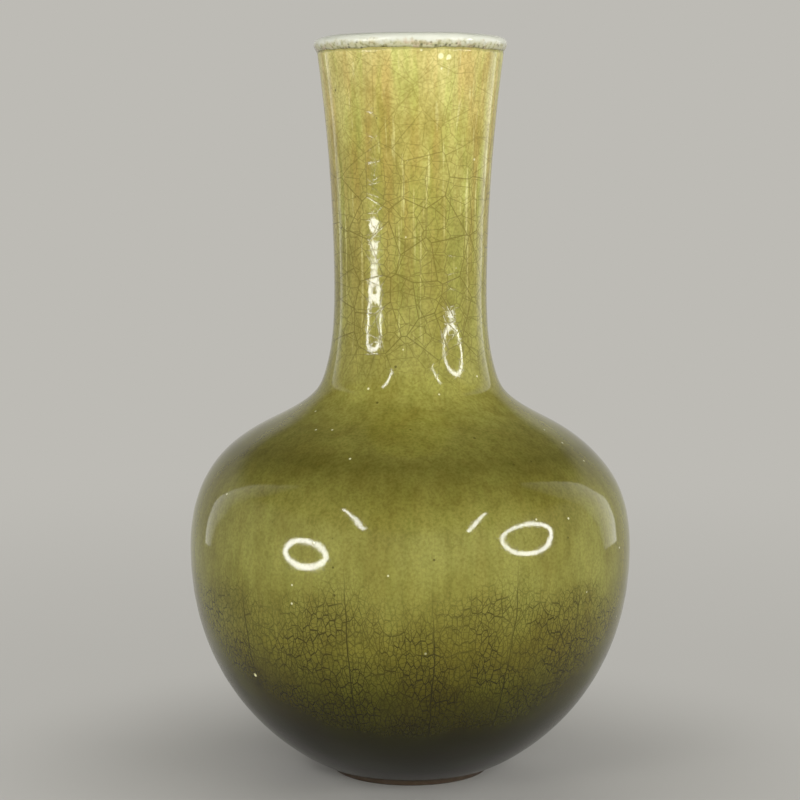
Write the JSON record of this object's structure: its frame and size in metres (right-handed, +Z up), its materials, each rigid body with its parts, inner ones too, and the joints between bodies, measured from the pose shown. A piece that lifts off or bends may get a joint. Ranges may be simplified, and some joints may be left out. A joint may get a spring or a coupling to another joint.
{
  "type": "vase",
  "caption": "Globular vase with a long, slightly flared neck: luted thrown sections under a crackled green glaze, with a white glaze bead on the lip, a pale lining and a low foot ring.",
  "frame": {"origin": "middle of the foot ring's bottom face, on the axis", "axes": "+Z up along the vase's axis; +X and +Y are any two square directions, because the vase is round; the picture looks along +Y"},
  "size_m": [0.1806, 0.1806, 0.3],
  "materials": {
    "bare_clay": "matt fired buff-white stoneware body, bare on the foot ring",
    "slip": "matt fired slip",
    "green_crackle_glaze": "glossy olive to apple-green glaze with fine brown crackle",
    "white_rim_glaze": "glossy thick greyish-white glaze",
    "pale_crackle_glaze": "glossy pale celadon-cream glaze with fine crackle"
  },
  "bodies": {
    "root": {"base_section": "bare_clay", "lower_belly": "bare_clay", "upper_belly": "bare_clay", "neck": "bare_clay", "base_slip": "slip", "belly_slip": "slip", "neck_slip": "slip", "outer_glaze": "green_crackle_glaze", "rim_glaze": "white_rim_glaze", "inner_glaze": "pale_crackle_glaze", "base_glaze": "pale_crackle_glaze"}
  },
  "joints": []
}
